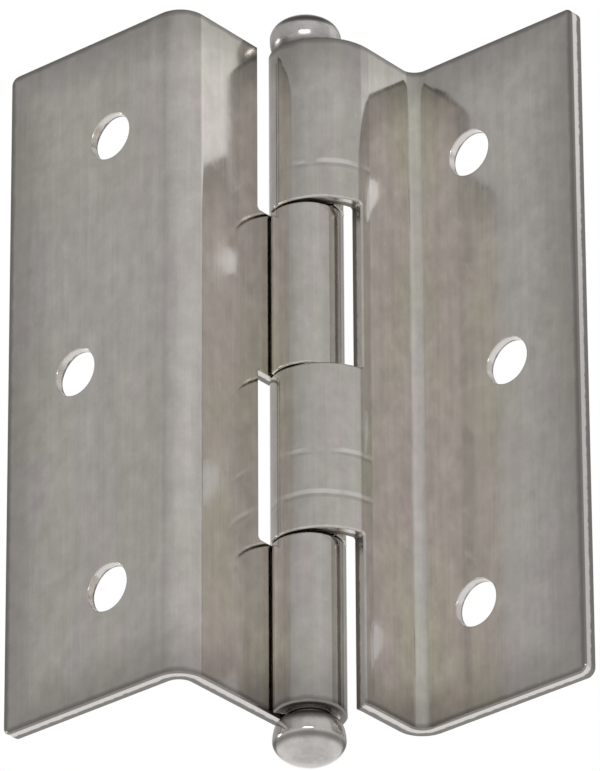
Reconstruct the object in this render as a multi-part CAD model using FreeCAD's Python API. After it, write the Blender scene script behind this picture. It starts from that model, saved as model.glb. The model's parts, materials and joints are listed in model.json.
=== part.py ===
import FreeCAD, Part
import math
import os

# Cranked hinge: two leaves folded from sheet steel turn on one pin with a domed head at each end.
# Each leaf has a flange for screws, a plate square to it, and knuckles rolled round the pin.
# Millimetres. X runs along the flanges, Y along the plates, and +Z up the pin.
# The origin is on the fixed leaf's mounting face, midway between its outer screw holes.

# Sheet of both leaves
leaf_height = 63.5
sheet = 1.35
bend_radius = 1.2          # inside of the fold between flange and plate
corner_radius = 0.8        # free corners of the flanges
edge_break = 0.12          # small chamfer along the edges of the cut sheet

# Fixed leaf
fixed_reach = 13.95        # pin axis to the mounting face
fixed_flange = 19.7        # plate's outer face to the flange's free edge
fixed_notch = 4.15         # pin axis to the edge of the notches round the moving knuckles

# Moving leaf
moving_reach = 9.45        # pin axis to the flange's outer face
moving_flange = 18.9       # plate's outer face to the flange's free edge
lead_in_radius = 5.3       # outside of the wide first quarter of the roll
lead_in_kept = 11.0        # degrees of that quarter left beside the fixed knuckles

# Knuckles
knuckle_count = 4
knuckle_gap = 0.2          # between one knuckle and the next
seam_gap = 0.12            # between a roll's end and the sheet that it comes back to

# Pin
pin_diameter = 3.6
pin_clearance = 0.05       # radial, in the knuckles
head_diameter = 6.2
head_seat_diameter = 4.6   # flat ring that faces the knuckle
head_shoulder = 1.75       # from that ring to the widest part
head_dome = 1.95           # from the widest part to the top
head_clearance = 0.05
pin_end_play = 0.4

# Screw holes, countersunk on the side away from the mounting face
hole_diameter = 4.3
hole_land = 0.8            # straight part of the hole
countersink_angle = 90.0
hole_pitch = 43.3          # between the outer holes
outer_hole_inset = 11.45   # flange's free edge to the outer holes
middle_hole_inset = 7.7    # flange's free edge to the middle hole
drill_overrun = 1.0        # the drill passes both faces by this much

# Values that follow
bore_radius = pin_diameter / 2 + pin_clearance
barrel_radius = bore_radius + sheet
bend_outside = bend_radius + sheet
half_height = leaf_height / 2
knuckle_pitch = leaf_height / knuckle_count
pin_x = bore_radius + fixed_flange - outer_hole_inset
pin_y = fixed_reach
ACROSS = FreeCAD.Vector(1, 0, 0)
THROUGH = FreeCAD.Vector(0, 1, 0)
UP = FreeCAD.Vector(0, 0, 1)


def direction(degrees):
    """Unit vector in plan, turned from +X towards +Y."""
    angle = math.radians(degrees)
    return FreeCAD.Vector(math.cos(angle), math.sin(angle), 0)


def arc(centre, radius, start, sweep):
    """Arc in plan from a start angle through a sweep, both in degrees."""
    points = [centre + direction(start + sweep * share) * radius for share in (0, 0.5, 1)]
    return Part.Arc(*points).toShape()


class Fold:
    """A strip of sheet followed along its middle line in plan, as straight runs and bends."""

    def __init__(self, place, heading):
        self.place = place
        self.heading = heading
        self.left = []
        self.right = []

    def run(self, length):
        """Go straight ahead."""
        step = direction(self.heading) * length
        side = direction(self.heading + 90) * (sheet / 2)
        for edges, offset in ((self.left, side), (self.right, -side)):
            start = self.place + offset
            edges.append(Part.makeLine(start, start + step))
        self.place = self.place + step
        return self

    def bend(self, degrees, inside_radius):
        """Turn left by positive degrees or right by negative ones, on a radius of the inner face."""
        hand = math.copysign(1, degrees)
        centre = self.place + direction(self.heading + 90 * hand) * (inside_radius + sheet / 2)
        start = self.heading - 90 * hand
        inner, outer = (self.left, self.right) if hand > 0 else (self.right, self.left)
        inner.append(arc(centre, inside_radius, start, degrees))
        outer.append(arc(centre, inside_radius + sheet, start, degrees))
        self.place = centre + direction(start + degrees) * (inside_radius + sheet / 2)
        self.heading += degrees
        return self

    def solid(self, low, high):
        """The strip between two heights."""
        first = self.left[0].firstVertex().Point, self.right[0].firstVertex().Point
        last = self.left[-1].lastVertex().Point, self.right[-1].lastVertex().Point
        ends = [Part.makeLine(*first), Part.makeLine(*last)]
        outline = Part.Wire(Part.sortEdges(self.left + self.right + ends)[0])
        plan = Part.Face(outline)
        plan.translate(UP * low)
        return plan.extrude(UP * (high - low))


def knuckle_span(index):
    """Lower and upper height of a knuckle, counted from the top."""
    top = half_height - index * knuckle_pitch
    at_top = index == 0
    at_bottom = index == knuckle_count - 1
    high = top if at_top else top - knuckle_gap / 2
    low = top - knuckle_pitch if at_bottom else top - knuckle_pitch + knuckle_gap / 2
    return low, high


def screw_hole(x, mounting_y, z):
    """Drill for one countersunk hole, driven through from the mounting face."""
    radius = hole_diameter / 2
    slope = math.tan(math.radians(countersink_angle / 2))
    cone_depth = sheet - hole_land + drill_overrun
    start = FreeCAD.Vector(x, mounting_y - drill_overrun, z)
    shank = Part.makeCylinder(radius, hole_land + drill_overrun, start, THROUGH)
    cone_start = FreeCAD.Vector(x, mounting_y + hole_land, z)
    cone = Part.makeCone(radius, radius + cone_depth * slope, cone_depth, cone_start, THROUGH)
    return shank.fuse(cone)


def is_sharp(edge, shape):
    """True for an edge where two faces of the sheet meet at an angle."""
    faces = shape.ancestorsOfType(edge, Part.Face)
    if len(faces) != 2:
        return False
    middle = edge.valueAt((edge.FirstParameter + edge.LastParameter) / 2)
    normals = [face.normalAt(*face.Surface.parameter(middle)) for face in faces]
    return abs(normals[0].dot(normals[1])) < math.cos(math.radians(30))


def finished_leaf(flat, knuckle, first_knuckle, free_edge, inward, mounting_y):
    """Join a leaf's knuckles to its flat part, round its free corners, break its edges and drill it."""
    leaf = flat
    for index in range(first_knuckle, knuckle_count, 2):
        leaf = leaf.fuse(knuckle.solid(*knuckle_span(index)))
    leaf = leaf.removeSplitter()
    corners = [
        edge for edge in leaf.Edges
        if abs(edge.CenterOfMass.x - free_edge) < sheet / 2
        and abs(abs(edge.CenterOfMass.z) - half_height) < sheet / 2
        and abs(edge.Length - sheet) < sheet / 2
    ]
    leaf = leaf.makeFillet(corner_radius, corners)
    leaf = leaf.makeChamfer(edge_break, [edge for edge in leaf.Edges if is_sharp(edge, leaf)])
    outer_x = free_edge + inward * outer_hole_inset
    middle_x = free_edge + inward * middle_hole_inset
    for x, z in ((outer_x, hole_pitch / 2), (middle_x, 0), (outer_x, -hole_pitch / 2)):
        leaf = leaf.cut(screw_hole(x, mounting_y, z))
    return leaf


def fixed_leaf():
    """Leaf whose plate is tangent to the barrel and rolls straight into it."""
    free_edge = -bore_radius - fixed_flange
    fold = Fold(FreeCAD.Vector(free_edge, -fixed_reach + sheet / 2, 0), 0)
    fold.run(fixed_flange - bend_outside).bend(90, bend_radius)
    fold.run(fixed_reach - bend_outside - fixed_notch)
    roll_end = math.degrees(math.acos((bore_radius - seam_gap) / barrel_radius))
    knuckle = Fold(fold.place, fold.heading)
    knuckle.run(fixed_notch).bend(-(360 - roll_end), bore_radius)
    return finished_leaf(fold.solid(-half_height, half_height), knuckle, 1, free_edge, 1, -fixed_reach)


def moving_leaf():
    """Leaf whose plate stands clear of the barrel and enters its roll by a wider quarter turn."""
    lead_in_inside = lead_in_radius - sheet
    rise = lead_in_radius - barrel_radius
    free_edge = lead_in_inside + moving_flange
    fold = Fold(FreeCAD.Vector(free_edge, moving_reach - sheet / 2, 0), 180)
    fold.run(moving_flange - bend_outside).bend(90, bend_radius)
    fold.run(moving_reach - bend_outside - rise).bend(-lead_in_kept, lead_in_inside)
    seam = (barrel_radius ** 2 + rise ** 2 - (lead_in_inside - seam_gap) ** 2) / (2 * barrel_radius * rise)
    roll_end = math.degrees(math.asin(seam))
    knuckle = Fold(fold.place, fold.heading)
    knuckle.bend(lead_in_kept - 90, lead_in_inside).bend(roll_end - 270, bore_radius)
    return finished_leaf(fold.solid(-half_height, half_height), knuckle, 0, free_edge, -1, moving_reach - sheet)


def quarter_ellipse(centre, across, along):
    """Quarter of an ellipse in the XZ plane, from its half axis along X to its half axis along Z."""
    circle = Part.makeCircle(1, FreeCAD.Vector(), -THROUGH, 0, 90)
    stretch = FreeCAD.Matrix()
    stretch.scale(across, 1, along)
    quarter = circle.transformGeometry(stretch)
    quarter.translate(centre)
    return quarter


def pin_head():
    """Bun-shaped head on the seat plane: flat seat ring, elliptic shoulder and elliptic dome."""
    radius = head_diameter / 2
    seat_radius = head_seat_diameter / 2
    seat = ACROSS * seat_radius
    widest = UP * head_shoulder
    edges = [
        Part.makeLine(FreeCAD.Vector(), seat),
        quarter_ellipse(seat + widest, radius - seat_radius, -head_shoulder),
        quarter_ellipse(widest, radius, head_dome),
        Part.makeLine(FreeCAD.Vector(), UP * (head_shoulder + head_dome)),
    ]
    section = Part.Face(Part.Wire(Part.sortEdges(edges)[0]))
    return section.revolve(FreeCAD.Vector(), UP, 360)


def hinge_pin():
    """Pin with a head at each end, dropped to the end of its play."""
    top_seat = half_height + head_clearance
    bottom_seat = -half_height - head_clearance - pin_end_play
    top_head = pin_head()
    top_head.translate(UP * top_seat)
    bottom_head = pin_head()
    bottom_head.rotate(FreeCAD.Vector(), ACROSS, 180)
    bottom_head.translate(UP * bottom_seat)
    shank = Part.makeCylinder(pin_diameter / 2, top_seat - bottom_seat, UP * bottom_seat, UP)
    return shank.fuse([top_head, bottom_head]).removeSplitter()


os.makedirs("parts", exist_ok=True)
pieces = {"fixed_leaf": fixed_leaf(), "moving_leaf": moving_leaf(), "hinge_pin": hinge_pin()}
for name, shape in pieces.items():
    shape.translate(FreeCAD.Vector(pin_x, pin_y, 0))
    shape.exportStep(f"parts/{name}.step")
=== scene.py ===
import json
import logging
import math
from dataclasses import dataclass, field
from enum import Enum
from typing import NamedTuple, Tuple, Union

import bpy
import numpy as np
from mathutils import Matrix, Vector


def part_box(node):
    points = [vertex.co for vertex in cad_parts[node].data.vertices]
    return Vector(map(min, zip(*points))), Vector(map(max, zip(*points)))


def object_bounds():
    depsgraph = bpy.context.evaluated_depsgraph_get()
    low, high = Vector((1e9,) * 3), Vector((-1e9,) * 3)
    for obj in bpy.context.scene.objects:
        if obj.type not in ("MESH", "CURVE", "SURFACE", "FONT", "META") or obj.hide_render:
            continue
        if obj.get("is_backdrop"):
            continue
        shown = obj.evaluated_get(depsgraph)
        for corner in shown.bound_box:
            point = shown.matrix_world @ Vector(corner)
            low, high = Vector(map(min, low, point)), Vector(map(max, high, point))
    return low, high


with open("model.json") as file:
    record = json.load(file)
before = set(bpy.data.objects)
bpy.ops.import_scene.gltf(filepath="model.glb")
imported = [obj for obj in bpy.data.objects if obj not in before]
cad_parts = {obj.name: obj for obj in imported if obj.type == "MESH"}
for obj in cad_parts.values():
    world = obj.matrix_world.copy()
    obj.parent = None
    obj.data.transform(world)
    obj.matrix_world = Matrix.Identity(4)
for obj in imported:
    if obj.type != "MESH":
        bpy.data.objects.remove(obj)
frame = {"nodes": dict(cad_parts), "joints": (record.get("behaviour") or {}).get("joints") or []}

log = logging.getLogger("cranked_hinge")

MM = 0.001
CAMERA_AZIMUTH = 39.95  # degrees from the front towards the right
Colour = Tuple[float, float, float]
Number = Union["Field", float]


class Field:
    """A number or colour that changes over a surface, with arithmetic that adds nodes to its tree."""

    def __init__(self, tree: bpy.types.NodeTree, socket: bpy.types.NodeSocket) -> None:
        """Keep the tree and the socket that holds the value."""
        self.tree = tree
        self.socket = socket

    def worked(self, operation: str, *others: Number) -> "Field":
        """Put this number and any others through a Math node.

        Args:
            operation: The node's operation.
            others: The second operand and the third, where the operation has them.

        Returns:
            The node's result.
        """
        node = self.tree.nodes.new("ShaderNodeMath")
        node.operation = operation
        for socket, value in zip(node.inputs, (self, *others)):
            plug(self.tree, value, socket)
        return Field(self.tree, node.outputs[0])

    def __add__(self, other: Number) -> "Field":
        """Sum of two numbers."""
        return self.worked("ADD", other)

    def __sub__(self, other: Number) -> "Field":
        """This number less another."""
        return self.worked("SUBTRACT", other)

    def __rsub__(self, other: float) -> "Field":
        """A plain number less this one."""
        return self.worked("MULTIPLY_ADD", -1.0, other)

    def __mul__(self, other: Number) -> "Field":
        """Product of two numbers."""
        return self.worked("MULTIPLY", other)

    def __truediv__(self, other: Number) -> "Field":
        """This number divided by another."""
        return self.worked("DIVIDE", other)

    def size(self) -> "Field":
        """The number without its sign."""
        return self.worked("ABSOLUTE")

    def at_least(self, other: Number) -> "Field":
        """The larger of two numbers."""
        return self.worked("MAXIMUM", other)

    def at_most(self, other: Number) -> "Field":
        """The smaller of two numbers."""
        return self.worked("MINIMUM", other)

    def above(self, level: Number) -> "Field":
        """1 where this number is over a level, else 0."""
        return self.worked("GREATER_THAN", level)

    def rise(self, low: float, high: float) -> "Field":
        """Smooth step from 0 at the low level to 1 at the high one.

        Args:
            low: Level below which the result is 0.
            high: Level above which the result is 1.

        Returns:
            The eased step.
        """
        node = self.tree.nodes.new("ShaderNodeMapRange")
        node.interpolation_type = "SMOOTHSTEP"
        plug(self.tree, self, node.inputs["Value"])
        node.inputs["From Min"].default_value = low
        node.inputs["From Max"].default_value = high
        return Field(self.tree, node.outputs[0])


class Place(NamedTuple):
    """A point of the surface in millimetres from the middle of the pin axis."""

    x: Field
    y: Field
    z: Field


def plug(tree: bpy.types.NodeTree, value: Union[Number, Colour], socket: bpy.types.NodeSocket) -> None:
    """Link a field to a socket, or set a plain value on it.

    Args:
        tree: Tree that holds the socket.
        value: Field, number or colour.
        socket: Input that takes it.
    """
    if isinstance(value, Field):
        tree.links.new(value.socket, socket)
    elif isinstance(value, tuple):
        socket.default_value = (*value, 1.0)
    else:
        socket.default_value = value


class Surface:
    """The node tree of one material, with the few joints of nodes that the finishes need."""

    def __init__(self, name: str) -> None:
        """Start an empty material.

        Args:
            name: Name of the material.
        """
        self.material = bpy.data.materials.new(name)
        self.material.use_nodes = True
        self.tree = self.material.node_tree
        self.tree.nodes.clear()

    def place(self, origin: Vector) -> Place:
        """Object coordinates turned into millimetres from a point.

        Args:
            origin: That point, in metres.

        Returns:
            The three coordinates.
        """
        coordinates = self.tree.nodes.new("ShaderNodeTexCoord")
        shift = self.tree.nodes.new("ShaderNodeVectorMath")
        shift.operation = "SUBTRACT"
        shift.inputs[1].default_value = origin
        scale = self.tree.nodes.new("ShaderNodeVectorMath")
        scale.operation = "SCALE"
        scale.inputs["Scale"].default_value = 1 / MM
        split = self.tree.nodes.new("ShaderNodeSeparateXYZ")
        self.tree.links.new(coordinates.outputs["Object"], shift.inputs[0])
        self.tree.links.new(shift.outputs[0], scale.inputs[0])
        self.tree.links.new(scale.outputs[0], split.inputs[0])
        return Place(*(Field(self.tree, socket) for socket in split.outputs))

    def point(self, x: Number, y: Number, z: Number) -> Field:
        """Join three numbers to a vector.

        Args:
            x: First number.
            y: Second number.
            z: Third number.

        Returns:
            The vector.
        """
        node = self.tree.nodes.new("ShaderNodeCombineXYZ")
        for socket, value in zip(node.inputs, (x, y, z)):
            plug(self.tree, value, socket)
        return Field(self.tree, node.outputs[0])

    def distance(self, across: Number, along: Number) -> Field:
        """Length of a vector with two sides at right angles.

        Args:
            across: One side.
            along: The other side.

        Returns:
            The length.
        """
        node = self.tree.nodes.new("ShaderNodeVectorMath")
        node.operation = "LENGTH"
        plug(self.tree, self.point(across, along, 0.0), node.inputs[0])
        return Field(self.tree, node.outputs["Value"])

    def noise(self, x: Number, y: Number, z: Number, detail: float = 2.0, lean: float = 0.5) -> Field:
        """Soft noise about one half.

        Args:
            x: First coordinate, with one unit to a feature.
            y: Second coordinate.
            z: Third coordinate.
            detail: Number of finer layers.
            lean: Share of each finer layer.

        Returns:
            The noise, mostly between 0.3 and 0.7.
        """
        node = self.tree.nodes.new("ShaderNodeTexNoise")
        plug(self.tree, self.point(x, y, z), node.inputs["Vector"])
        node.inputs["Scale"].default_value = 1.0
        node.inputs["Detail"].default_value = detail
        node.inputs["Roughness"].default_value = lean
        return Field(self.tree, node.outputs[0])

    def choose(self, where: Field, there: Number, elsewhere: Number) -> Field:
        """Mix two numbers by a share.

        Args:
            where: Share of the first number.
            there: Number at a share of 1.
            elsewhere: Number at a share of 0.

        Returns:
            The mixed number.
        """
        node = self.tree.nodes.new("ShaderNodeMix")
        plug(self.tree, where, node.inputs[0])
        plug(self.tree, elsewhere, node.inputs[2])
        plug(self.tree, there, node.inputs[3])
        return Field(self.tree, node.outputs[0])

    def paint(self, where: Field, there: Union[Field, Colour], under: Union[Field, Colour]) -> Field:
        """Lay one colour over another.

        Args:
            where: Share of the colour that is laid on.
            there: That colour.
            under: Colour that it covers.

        Returns:
            The mixed colour.
        """
        node = self.tree.nodes.new("ShaderNodeMix")
        node.data_type = "RGBA"
        plug(self.tree, where, node.inputs[0])
        plug(self.tree, under, node.inputs[6])
        plug(self.tree, there, node.inputs[7])
        return Field(self.tree, node.outputs[2])

    def shade(self, colour: Field, by: Field) -> Field:
        """Multiply a colour by a number.

        Args:
            colour: The colour.
            by: The number.

        Returns:
            The product.
        """
        node = self.tree.nodes.new("ShaderNodeVectorMath")
        node.operation = "SCALE"
        plug(self.tree, colour, node.inputs[0])
        plug(self.tree, by, node.inputs["Scale"])
        return Field(self.tree, node.outputs[0])

    def metal(self, colour: Field, roughness: Field, relief: Field, edge: float) -> bpy.types.Material:
        """Finish the material as bare metal.

        Args:
            colour: Colour of its reflection.
            roughness: Blur of its reflection.
            relief: Height of its small marks in millimetres.
            edge: Radius in millimetres to which sharp edges look broken.

        Returns:
            The material.
        """
        broken = self.tree.nodes.new("ShaderNodeBevel")
        broken.samples = 4
        broken.inputs["Radius"].default_value = edge * MM
        bump = self.tree.nodes.new("ShaderNodeBump")
        bump.inputs["Strength"].default_value = 1.0
        bump.inputs["Distance"].default_value = MM
        shader = self.tree.nodes.new("ShaderNodeBsdfPrincipled")
        shader.inputs["Metallic"].default_value = 1.0
        output = self.tree.nodes.new("ShaderNodeOutputMaterial")
        plug(self.tree, relief, bump.inputs["Height"])
        plug(self.tree, colour, shader.inputs["Base Color"])
        plug(self.tree, roughness, shader.inputs["Roughness"])
        self.tree.links.new(broken.outputs[0], bump.inputs["Normal"])
        self.tree.links.new(bump.outputs[0], shader.inputs["Normal"])
        self.tree.links.new(shader.outputs[0], output.inputs[0])
        return self.material


@dataclass(frozen=True)
class Pattern:
    """Noise spread over a surface, in features to a millimetre across the pin axis and along it."""

    across: float
    along: float
    detail: float = 2.0
    lean: float = 0.5
    shift: Tuple[float, float, float] = (0.0, 0.0, 0.0)

    def lay(self, surface: Surface, at: Place) -> Field:
        """Spread the pattern.

        Args:
            surface: Material in the making.
            at: Place on it.

        Returns:
            The noise.
        """
        scales = (self.across, self.across, self.along)
        axes = zip(at, scales, self.shift)
        spread = (value.worked("MULTIPLY_ADD", scale, start) for value, scale, start in axes)
        return surface.noise(*spread, self.detail, self.lean)


@dataclass(frozen=True)
class RubMark:
    """A line rubbed round a knuckle by the curling tool, in millimetres from the middle of the pin axis."""

    height: float
    width: float
    depth: float


@dataclass(frozen=True)
class SheetSteel:
    """Cold-rolled strip with a faint upright grain, sheared to a burnished band and a torn band."""

    colour: Colour = (0.690, 0.653, 0.612)
    rose: Colour = (0.698, 0.640, 0.615)
    olive: Colour = (0.678, 0.656, 0.578)
    burnished: Colour = (0.74, 0.715, 0.69)
    torn: Colour = (0.26, 0.24, 0.225)
    # colour of the painted shade along the edges of the sheet
    painted_shade: Colour = (0.17, 0.158, 0.15)
    roughness: float = 0.11
    torn_roughness: float = 0.45
    burnished_roughness: float = 0.26
    burnish_share: float = 0.5
    skin: Tuple[float, float] = (0.07, 0.14)
    # level of the painted shade on the rolls and in the fold
    roll_and_fold_shade: float = 0.80
    grain_height: float = 0.0003
    crumb_height: float = 0.02
    edge: float = 0.16
    olive_range: Tuple[float, float] = (0.42, 0.66)
    rose_range: Tuple[float, float] = (0.50, 0.72)
    streak_tone: float = 0.24
    grain_tone: float = 0.10
    dapple_tone: float = 0.42
    grain_blur: float = 0.10
    dapple_blur: float = 0.12
    mark_wander: float = 0.5
    mark_range: Tuple[float, float] = (0.36, 0.6)
    mark_light: float = 0.9
    mark_shade: float = 0.3
    mark_blur: float = 0.06
    rim_reach: float = 6.0
    rim_shade: float = 0.40
    rim_line: Tuple[float, float] = (0.2, 1.1)
    rim_line_shade: float = 0.80
    cloud: Pattern = Pattern(0.16, 0.06, 1.0)
    blush: Pattern = Pattern(0.3, 0.1, 1.0, shift=(40.0, 0.0, 0.0))
    streak: Pattern = Pattern(1.1, 0.035, 2.0, 0.6)
    grain: Pattern = Pattern(5.0, 0.16, 1.0, 0.65)
    dapple: Pattern = Pattern(0.7, 0.55, 3.0, 0.6)
    wander: Pattern = Pattern(0.25, 0.02)
    patches: Pattern = Pattern(0.45, 0.5, 3.0, shift=(0.0, 0.0, 7.0))
    unevenness: Pattern = Pattern(0.8, 0.8)
    raggedness: Pattern = Pattern(1.6, 1.6, 4.0, 0.6)
    crumbs: Pattern = Pattern(7.0, 7.0, 3.0, 0.6)

    def material(self, leaf: "Leaf") -> bpy.types.Material:
        """Make this finish for one leaf.

        Args:
            leaf: Leaf that knows the depth of a point in its sheet.

        Returns:
            The material.
        """
        surface = Surface(f"{leaf.node}_steel")
        at = surface.place(leaf.pin)
        depth = leaf.depth(surface, at) / leaf.sheet
        colour, roughness, relief = self.face(surface, at)
        # painted shade: the rolls and the fold are darkened
        colour = surface.shade(colour, 1.0 - leaf.roll_and_fold_shade(at) * (1.0 - self.roll_and_fold_shade))
        colour, roughness, relief = self.rubbed(surface, at, leaf, colour, roughness, relief)
        colour = self.painted_rim_shade(surface, at, leaf, colour)
        colour, roughness, relief = self.sheared(surface, at, depth, colour, roughness, relief)
        return surface.metal(colour, roughness, relief, self.edge)

    def face(self, surface: Surface, at: Place) -> Tuple[Field, Field, Field]:
        """The rolled face: cloudy tint, broad streaks and fine grain, all drawn out along the pin.

        Args:
            surface: Material in the making.
            at: Place on it.

        Returns:
            Colour, roughness and relief.
        """
        patterns = (self.cloud, self.blush, self.streak, self.grain, self.dapple)
        cloud, blush, streak, grain, dapple = (pattern.lay(surface, at) for pattern in patterns)
        colour = surface.paint(cloud.rise(*self.olive_range), self.olive, self.colour)
        colour = surface.paint(blush.rise(*self.rose_range), self.rose, colour)
        streaky, grainy, dappled = (noise - 0.5 for noise in (streak, grain, dapple))
        tone = streaky * self.streak_tone + grainy * self.grain_tone + dappled * self.dapple_tone + 1.0
        colour = surface.shade(colour, tone)
        roughness = grainy * self.grain_blur + dappled * self.dapple_blur + self.roughness
        relief = (grain + streak * 0.6) * self.grain_height
        return colour, roughness, relief

    def rubbed(self, surface: Surface, at: Place, leaf: "Leaf", colour: Field, roughness: Field,
               relief: Field) -> Tuple[Field, Field, Field]:
        """Add the lines that the curling tool rubbed round the knuckles, each with a band of painted shade
        just below it.

        Args:
            surface: Material in the making.
            at: Place on it.
            leaf: Leaf with its marks.
            colour: Colour so far.
            roughness: Roughness so far.
            relief: Relief so far.

        Returns:
            Colour, roughness and relief with the marks.
        """
        rolled = leaf.rolled(at)
        wander = (self.wander.lay(surface, at) - 0.5) * self.mark_wander
        patchy = self.patches.lay(surface, at).rise(*self.mark_range)
        for mark in leaf.marks:
            off = (at.z + wander - mark.height) / mark.width
            line = (1.0 - off.size().rise(0.35, 1.0)) * rolled * patchy
            # painted shade: a dark band just below each rubbed line
            shade_side = (1.0 - (off + 1.3).size().rise(0.2, 0.9)) * rolled * patchy
            colour = surface.paint(shade_side * self.mark_shade, self.torn, colour)
            colour = surface.paint(line * self.mark_light, self.burnished, colour)
            relief = relief - line * mark.depth
            roughness = roughness + line * self.mark_blur
        return colour, roughness, relief

    def painted_rim_shade(self, surface: Surface, at: Place, leaf: "Leaf", colour: Field) -> Field:
        """Paint shade along the free edge, the top and the bottom of the sheet: a broad darker margin and a
        dark line at the edge.

        Args:
            surface: Material in the making.
            at: Place on it.
            leaf: Leaf with its outline.
            colour: Colour so far.

        Returns:
            The colour with its rim.
        """
        uneven = self.unevenness.lay(surface, at) * 0.6 + 0.7
        inside = leaf.inside(at) / uneven
        # painted shade: a broad darker margin and a dark line along the edges
        margin = (1.0 - inside.rise(0.0, self.rim_reach)) * self.rim_shade
        line = (1.0 - inside.rise(*self.rim_line)) * self.rim_line_shade
        return surface.paint(margin.at_least(line), self.painted_shade, colour)

    def sheared(self, surface: Surface, at: Place, depth: Field, colour: Field, roughness: Field,
                relief: Field) -> Tuple[Field, Field, Field]:
        """Cut faces: bright and smooth next to the front face, dark and torn behind.

        Args:
            surface: Material in the making.
            at: Place on it.
            depth: Depth in the sheet as a share of its thickness.
            colour: Colour of the faces.
            roughness: Roughness of the faces.
            relief: Relief of the faces.

        Returns:
            Colour, roughness and relief with the cut faces.
        """
        ragged = (self.raggedness.lay(surface, at) - 0.5) * 0.3
        crumbs = self.crumbs.lay(surface, at)
        outer, inner = self.skin
        cut = depth.rise(outer, inner) * (1.0 - depth.rise(1.0 - inner, 1.0 - outer))
        tear = (depth + ragged).rise(self.burnish_share - 0.06, self.burnish_share + 0.08)
        edge_colour = surface.shade(surface.paint(tear, self.torn, self.burnished), crumbs * 0.5 + 0.75)
        edge_roughness = surface.choose(tear, self.torn_roughness, self.burnished_roughness)
        colour = surface.paint(cut, edge_colour, colour)
        roughness = surface.choose(cut, edge_roughness, roughness)
        relief = relief + cut * tear * crumbs * self.crumb_height
        return colour, roughness, relief


@dataclass(frozen=True)
class PinSteel:
    """Drawn wire, headed and turned bright, with painted shade under the heads and a painted dark reflection
    as a ring on each head.
    """

    colour: Colour = (0.64, 0.615, 0.59)
    dull: Colour = (0.50, 0.475, 0.455)
    # colour of the painted shade and of the painted dark ring
    painted_shade: Colour = (0.14, 0.13, 0.12)
    roughness: float = 0.12
    ring_pitch: float = 0.22
    line_offset: float = 0.6
    line_fade: Tuple[float, float] = (0.05, 0.45)
    seat_fade: Tuple[float, float] = (0.2, 1.3)
    # strength of the painted shade and of the painted dark ring
    painted_shade_strength: float = 0.8
    edge: float = 0.05
    cloud: Pattern = Pattern(0.5, 0.5, 3.0)
    scuff: Pattern = Pattern(2.5, 2.5, 4.0, 0.6)

    def material(self, pin: "HingePin") -> bpy.types.Material:
        """Make this finish for the pin.

        Args:
            pin: Pin with its sizes.

        Returns:
            The material.
        """
        surface = Surface(f"{pin.node}_steel")
        at = surface.place(pin.axis)
        radius = surface.distance(at.x, at.y)
        height = at.z.size()
        cloud = self.cloud.lay(surface, at)
        turned = surface.noise(radius / self.ring_pitch, 0.0, height / self.ring_pitch, 2.0)
        scuff = self.scuff.lay(surface, at)
        colour = surface.paint(cloud.rise(0.35, 0.65), self.dull, self.colour)
        colour = surface.shade(colour, (turned - 0.5) * 0.35 + (scuff - 0.5) * 0.3 + 1.0)
        # painted dark reflection: a dark ring just past each head's widest line, towards its end
        line = 1.0 - (height - pin.widest - self.line_offset).size().rise(*self.line_fade)
        # painted shade where each head sits against its knuckle
        under = 1.0 - (height - pin.seat).rise(*self.seat_fade)
        colour = surface.paint(line * self.painted_shade_strength, self.painted_shade, colour)
        colour = surface.paint(under * self.painted_shade_strength, self.painted_shade, colour)
        roughness = (scuff - 0.5) * 0.2 + (turned - 0.5) * 0.12 + under * 0.25 + self.roughness
        relief = turned * 0.003 + scuff * 0.004 - line * 0.02
        return surface.metal(colour, roughness, relief, self.edge)


@dataclass
class Leaf:
    """A folded strip of sheet. Its sizes are in millimetres, and its coordinates start on the pin axis."""

    node: str
    pin: Vector
    sheet: float = 1.35
    bend_inside: float = 1.2
    bore: float = 1.85
    fold_ease: float = 0.5
    fold_shade: float = 0.6
    # share of the painted shade in the fold
    clear_share: float = 0.2
    marks: Tuple[RubMark, ...] = ()
    half_height: float = field(init=False)
    free_edge: float = field(init=False)

    def __post_init__(self) -> None:
        """Take the leaf's height and the place of its free edge from its node."""
        low, high = (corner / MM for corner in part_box(self.node))
        centre = self.pin.x / MM
        reaches = (low.x - centre, high.x - centre)
        self.half_height = (high.z - low.z) / 2
        self.free_edge = max(reaches, key=abs)

    @property
    def barrel(self) -> float:
        """Outside radius of the knuckles."""
        return self.bore + self.sheet

    @property
    def bend_outside(self) -> float:
        """Outside radius of the fold."""
        return self.bend_inside + self.sheet

    def depth(self, surface: Surface, at: Place) -> Field:
        """Depth of a point in the sheet, from the face that shows in front.

        Args:
            surface: Material in the making.
            at: Place on it.

        Returns:
            The depth in millimetres.
        """
        raise NotImplementedError

    def rolled(self, at: Place) -> Field:
        """1 on the knuckles, 0 on the plate and the flange."""
        raise NotImplementedError

    def folded(self, at: Place) -> Tuple[Field, Field]:
        """How far a point lies past the fold's centre.

        Args:
            at: The point.

        Returns:
            Lengths towards the plate's face and towards the flange's, or 0 before the centre.
        """
        raise NotImplementedError

    def roll_and_fold_shade(self, at: Place) -> Field:
        """Share of the painted shade on the rolls and in the fold.

        Args:
            at: Place on it.

        Returns:
            1 on the rolls clear of the fixed plate, less in the fold, 0 where flat.
        """
        across, along = self.folded(at)
        fold = across.rise(0.0, self.fold_ease) * along.rise(0.0, self.fold_ease) * self.fold_shade
        clear = at.x.rise(-self.bore, self.bore * self.clear_share)
        return fold.at_least(self.rolled(at) * clear)

    def inside(self, at: Place) -> Field:
        """Distance of a point from the nearest of the free edge, the top and the bottom."""
        return (self.half_height - at.z.size()).at_most((at.x - self.free_edge).size())

    def dress(self, steel: SheetSteel) -> None:
        """Put the finish on the leaf's node."""
        cover(self.node, steel.material(self))


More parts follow.
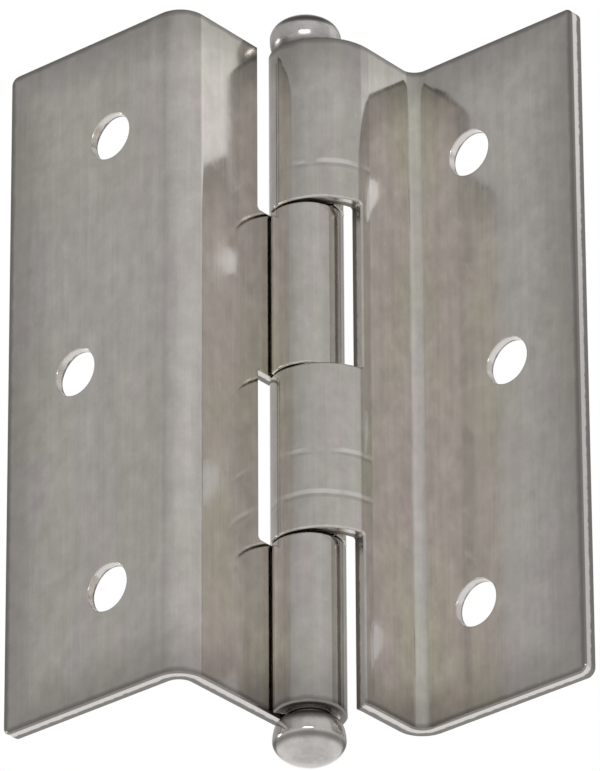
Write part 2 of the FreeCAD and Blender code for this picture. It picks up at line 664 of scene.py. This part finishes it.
@dataclass
class FixedLeaf(Leaf):
    """The leaf that is screwed down: its plate runs straight into its roll."""

    reach: float = 13.95
    seam: float = 0.12

    def depth(self, surface: Surface, at: Place) -> Field:
        """Depth from the mounting face, the plate's front and the bore.

        The fold's outer radius less the distance from the fold's centre gives it on flange, fold and plate,
        because that distance only counts the part beyond the centre. On the roll it is the radius less
        the bore.

        Args:
            surface: Material in the making.
            at: Place on it.

        Returns:
            The depth in millimetres.
        """
        folded = self.bend_outside - surface.distance(*self.folded(at))
        curled = surface.distance(at.x, at.y) - self.bore
        return surface.choose(self.rolled(at), curled, folded)

    def folded(self, at: Place) -> Tuple[Field, Field]:
        """How far a point lies past the fold's centre.

        Args:
            at: The point.

        Returns:
            Lengths towards the plate's face and towards the flange's, or 0 before the centre.
        """
        across = at.x + (self.bore + self.bend_outside)
        along = (self.bend_outside - self.reach) - at.y
        return across.at_least(0.0), along.at_least(0.0)

    def rolled(self, at: Place) -> Field:
        """1 past the pin's level or clear of the plate's front, which is the roll."""
        return at.y.above(0.0).at_least(at.x.above(self.seam / 2 - self.bore))


@dataclass
class MovingLeaf(Leaf):
    """The leaf that swings: its plate stands clear of the barrel and enters it by a wide quarter turn."""

    reach: float = 9.45
    lead_in: float = 5.3
    entry_margin: float = 0.13

    def depth(self, surface: Surface, at: Place) -> Field:
        """Depth from the mounting face, the plate's front and the outside of the roll.

        On flange, fold and plate it is the distance from the fold's centre less the fold's inner radius.
        On the wide quarter it is that quarter's radius less the distance from its centre, and on the roll
        the barrel's radius less the distance from the pin.

        Args:
            surface: Material in the making.
            at: Place on it.

        Returns:
            The depth in millimetres.
        """
        folded = surface.distance(*self.folded(at)) - self.bend_inside
        entering = self.lead_in - self.from_quarter(surface, at)
        curled = self.barrel - surface.distance(at.x, at.y)
        rolled = surface.choose(self.entry(surface, at), entering, curled)
        return surface.choose(self.flat(at), folded, rolled)

    def folded(self, at: Place) -> Tuple[Field, Field]:
        """How far a point lies past the fold's centre.

        Args:
            at: The point.

        Returns:
            Lengths towards the plate's face and towards the flange's, or 0 before the centre.
        """
        across = (self.lead_in - self.sheet + self.bend_outside) - at.x
        along = at.y - (self.reach - self.bend_outside)
        return across.at_least(0.0), along.at_least(0.0)

    def from_quarter(self, surface: Surface, at: Place) -> Field:
        """Distance from the centre of the wide quarter turn."""
        return surface.distance(at.x, at.y - (self.lead_in - self.barrel))

    def flat(self, at: Place) -> Field:
        """1 on plate, fold and flange."""
        between = (self.barrel + self.lead_in - self.sheet) / 2
        return at.y.above(self.lead_in - self.barrel) * at.x.above(between)

    def entry(self, surface: Surface, at: Place) -> Field:
        """1 on the wide quarter turn."""
        inside = self.lead_in - self.sheet - self.entry_margin
        return at.x.above(0.0) * self.from_quarter(surface, at).above(inside)

    def rolled(self, at: Place) -> Field:
        """1 wherever the sheet isn't flat."""
        return 1.0 - self.flat(at)


@dataclass
class HingePin:
    """The pin with its two heads. Heights are in millimetres from the pin's middle."""

    node: str
    pin: Vector
    dome: float = 1.95
    shoulder: float = 1.75
    axis: Vector = field(init=False)
    widest: float = field(init=False)
    seat: float = field(init=False)

    def __post_init__(self) -> None:
        """Centre the pin between its ends and find the heights of its heads."""
        low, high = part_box(self.node)
        self.axis = Vector((self.pin.x, self.pin.y, (low.z + high.z) / 2))
        self.widest = (high.z - low.z) / 2 / MM - self.dome
        self.seat = self.widest - self.shoulder

    def dress(self, steel: PinSteel) -> None:
        """Put the finish on the pin's node."""
        cover(self.node, steel.material(self))


def cover(node: str, material: bpy.types.Material) -> None:
    """Give a node one material in place of those that it came with.

    Args:
        node: Name of the node.
        material: The material.
    """
    slots = frame["nodes"][node].material_slots
    for slot in slots:
        slot.link = "OBJECT"
        slot.material = material
    log.info("%s dressed with %s", node, material.name)


def outward(turn: float, height: float) -> Vector:
    """Direction from the hinge: sine and negative cosine of the turn in plan, raised by the height.

    Args:
        turn: Turn about the upright from the front, in radians.
        height: Angle above the level, in radians.

    Returns:
        The unit vector.
    """
    level = math.cos(height)
    return Vector((math.sin(turn) * level, -math.cos(turn) * level, math.sin(height)))


class Side(Enum):
    """Where a lamp hangs: turn about the upright from the front, and height above the level, in degrees."""

    ABOVE = (-20.0, 78.0)
    LOW_FRONT = (37.0, 4.0)
    LOW_LEFT = (-60.0, 3.0)
    BEHIND_RIGHT = (136.3, 45.4)


@dataclass(frozen=True)
class Lamp:
    """A soft oblong lamp that faces the hinge. Lengths are in metres."""

    side: Side
    distance: float
    width: float
    height: float
    watts: float
    mirrored: bool = True

    def hang(self, target: Vector) -> None:
        """Make the lamp.

        Args:
            target: Point that it faces, in metres.
        """
        turn, height = (math.radians(angle) for angle in self.side.value)
        away = outward(turn, height)
        data = bpy.data.lights.new(f"lamp_{self.side.name.lower()}", "AREA")
        data.shape = "RECTANGLE"
        data.size = self.width
        data.size_y = self.height
        data.energy = self.watts
        lamp = bpy.data.objects.new(data.name, data)
        lamp.location = target + away * self.distance
        lamp.rotation_mode = "QUATERNION"
        lamp.rotation_quaternion = (-away).to_track_quat("-Z", "Y")
        lamp.visible_camera = False
        lamp.visible_glossy = self.mirrored
        bpy.context.collection.objects.link(lamp)


@dataclass
class Studio:
    """A pale floor just under the hinge, a room with a white backdrop and soft lamps.

    Lengths are in metres. Each stop of the room is a turn from the camera in degrees and the level of
    light there.
    """

    pin: Vector
    floor_gap: float = 0.0005
    floor_span: float = 6.0
    floor_lines: int = 9
    floor_colour: Colour = (0.86, 0.86, 0.86)
    fade: Tuple[float, float] = (0.12, 0.40)
    front: float = CAMERA_AZIMUTH
    room: Tuple[Tuple[float, float], ...] = (
        (-180.0, 1.0), (-169.0, 1.0), (-157.0, 0.46), (-79.0, 0.47), (0.0, 0.65),
        (35.0, 0.69), (65.0, 0.66), (125.0, 0.60), (157.0, 0.38), (169.0, 1.0),
    )
    ceiling: float = 0.26
    ceiling_rise: Tuple[float, float] = (0.7, 0.95)
    lamps: Tuple[Lamp, ...] = (
        Lamp(Side.ABOVE, 0.9, 0.7, 0.7, 4.7, mirrored=False),
        Lamp(Side.LOW_FRONT, 0.8, 0.4, 0.14, 1.1),
        Lamp(Side.LOW_LEFT, 0.8, 0.2, 0.2, 0.8),
        Lamp(Side.BEHIND_RIGHT, 0.083, 0.032, 0.05, 0.0011),
    )

    def build(self) -> None:
        """Lay the floor, set the room's light and hang the lamps."""
        low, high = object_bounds()
        self.lay_floor(low.z - self.floor_gap)
        self.light_room()
        for lamp in self.lamps:
            lamp.hang((low + high) / 2)
        log.info("studio with %d lamps", len(self.lamps))

    def lay_floor(self, level: float) -> None:
        """Make the floor: a square grid at one height, with its upper side turned up.

        Args:
            level: Height of the floor in metres.
        """
        side = np.linspace(-self.floor_span / 2, self.floor_span / 2, self.floor_lines)
        across, along = np.meshgrid(side, side)
        points = np.column_stack((across.ravel(), along.ravel(), np.full(across.size, level)))
        start = np.arange(side.size * (side.size - 1)).reshape(-1, side.size)[:, :-1].ravel()
        faces = start[:, None] + np.array((0, 1, side.size + 1, side.size))
        mesh = bpy.data.meshes.new("floor")
        mesh.from_pydata(points.tolist(), [], faces.tolist())
        mesh.materials.append(self.floor_material())
        floor = bpy.data.objects.new("floor", mesh)
        bpy.context.collection.objects.link(floor)
        floor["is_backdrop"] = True

    def floor_material(self) -> bpy.types.Material:
        """Matt pale paint that fades to white far out.

        The steel sees the paint's own colour without the shadow, and the camera looks through it from below.

        Returns:
            The material.
        """
        surface = Surface("floor_paint")
        tree = surface.tree
        at = surface.place(self.pin)
        path = tree.nodes.new("ShaderNodeLightPath")
        geometry = tree.nodes.new("ShaderNodeNewGeometry")
        paint = tree.nodes.new("ShaderNodeBsdfDiffuse")
        glow = tree.nodes.new("ShaderNodeEmission")
        clear = tree.nodes.new("ShaderNodeBsdfTransparent")
        white = tree.nodes.new("ShaderNodeEmission")
        faded = tree.nodes.new("ShaderNodeMixShader")
        mirrored = tree.nodes.new("ShaderNodeMixShader")
        mix = tree.nodes.new("ShaderNodeMixShader")
        output = tree.nodes.new("ShaderNodeOutputMaterial")
        paint.inputs["Color"].default_value = (*self.floor_colour, 1.0)
        glow.inputs["Color"].default_value = (*self.floor_colour, 1.0)
        camera, glossy, through = (
            Field(tree, path.outputs[f"Is {ray} Ray"]) for ray in ("Camera", "Glossy", "Transmission")
        )
        inner, outer = (radius / MM for radius in self.fade)
        far = surface.distance(at.x, at.y).rise(inner, outer)
        plug(tree, glossy, mirrored.inputs[0])
        tree.links.new(paint.outputs[0], mirrored.inputs[1])
        tree.links.new(glow.outputs[0], mirrored.inputs[2])
        plug(tree, far * camera.at_least(glossy).at_least(through), faded.inputs[0])
        tree.links.new(mirrored.outputs[0], faded.inputs[1])
        tree.links.new(white.outputs[0], faded.inputs[2])
        plug(tree, camera * Field(tree, geometry.outputs["Backfacing"]), mix.inputs[0])
        tree.links.new(faded.outputs[0], mix.inputs[1])
        tree.links.new(clear.outputs[0], mix.inputs[2])
        tree.links.new(mix.outputs[0], output.inputs[0])
        return surface.material

    def light_room(self) -> None:
        """Light the room: a white backdrop behind the hinge, grey walls elsewhere and a darker ceiling."""
        world = bpy.data.worlds.new("room")
        world.use_nodes = True
        bpy.context.scene.world = world
        tree = world.node_tree
        tree.nodes.clear()
        coordinates = tree.nodes.new("ShaderNodeTexCoord")
        turned = tree.nodes.new("ShaderNodeVectorRotate")
        turned.rotation_type = "Z_AXIS"
        turned.inputs["Angle"].default_value = math.radians(-self.front)
        split = tree.nodes.new("ShaderNodeSeparateXYZ")
        ramp = tree.nodes.new("ShaderNodeValToRGB")
        tree.links.new(coordinates.outputs["Generated"], turned.inputs["Vector"])
        tree.links.new(turned.outputs[0], split.inputs[0])
        right, behind, up = (Field(tree, socket) for socket in split.outputs)
        angle = right.worked("ARCTAN2", behind * -1.0) / (2 * math.pi) + 0.5
        plug(tree, angle, ramp.inputs[0])
        self.fill(ramp.color_ramp)
        high = up.rise(*self.ceiling_rise)
        level = Field(tree, ramp.outputs["Color"]) * (1.0 - high) + high * self.ceiling
        background = tree.nodes.new("ShaderNodeBackground")
        background.inputs["Color"].default_value = (1.0, 1.0, 1.0, 1.0)
        plug(tree, level, background.inputs["Strength"])
        output = tree.nodes.new("ShaderNodeOutputWorld")
        tree.links.new(background.outputs[0], output.inputs[0])

    def fill(self, ramp: bpy.types.ColorRamp) -> None:
        """Set the room's levels on a ramp that runs once round: from behind through left, front and right.

        Args:
            ramp: Ramp with its two first stops.
        """
        ramp.interpolation = "EASE"
        stops = (*self.room, (180.0, self.room[0][1]))
        while len(ramp.elements) < len(stops):
            ramp.elements.new(0.5)
        for element, (turn, level) in zip(ramp.elements, stops):
            element.position = turn / 360 + 0.5
            element.color = (level, level, level, 1.0)


@dataclass
class LongLensCamera:
    """Camera in front of the hinge, to its right and below it, with a long lens. Lengths are in metres."""

    pin: Vector
    azimuth: float = CAMERA_AZIMUTH
    elevation: float = -28.64
    roll: float = -0.304
    distance: float = 0.7305
    pan: float = -0.00062
    lift: float = -0.00034
    lens: float = 403.4
    sensor: float = 36.0

    def build(self) -> None:
        """Make the camera and use it for the scene."""
        turn, height, roll = (math.radians(angle) for angle in (self.azimuth, self.elevation, self.roll))
        back = outward(turn, height)
        level = Vector((math.cos(turn), math.sin(turn), 0.0))
        upright = back.cross(level)
        right = level * math.cos(roll) + upright * math.sin(roll)
        up = upright * math.cos(roll) - level * math.sin(roll)
        data = bpy.data.cameras.new("camera")
        data.lens = self.lens
        data.sensor_width = self.sensor
        camera = bpy.data.objects.new("camera", data)
        place = self.pin + back * self.distance + right * self.pan + up * self.lift
        camera.matrix_world = Matrix.Translation(place) @ Matrix((right, up, back)).transposed().to_4x4()
        bpy.context.collection.objects.link(camera)
        bpy.context.scene.camera = camera
        log.info("camera at %s", tuple(round(value, 4) for value in place))


def main() -> None:
    """Dress the leaves and the pin, then set up the studio and the camera."""
    logging.basicConfig(level=logging.INFO, format="%(name)s: %(message)s")
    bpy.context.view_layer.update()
    pin = Vector(frame["joints"][0]["pos_m"])
    steel = SheetSteel()
    curl_marks = (RubMark(19.6, 0.32, 0.004), RubMark(-8.4, 0.28, 0.004), RubMark(-12.4, 0.3, 0.004))
    FixedLeaf("fixed_leaf", pin).dress(steel)
    MovingLeaf("moving_leaf", pin, marks=curl_marks).dress(steel)
    HingePin("hinge_pin", pin).dress(PinSteel())
    Studio(pin).build()
    LongLensCamera(pin).build()
    bpy.context.scene.view_settings.view_transform = "Standard"


if __name__ == "__main__":
    main()
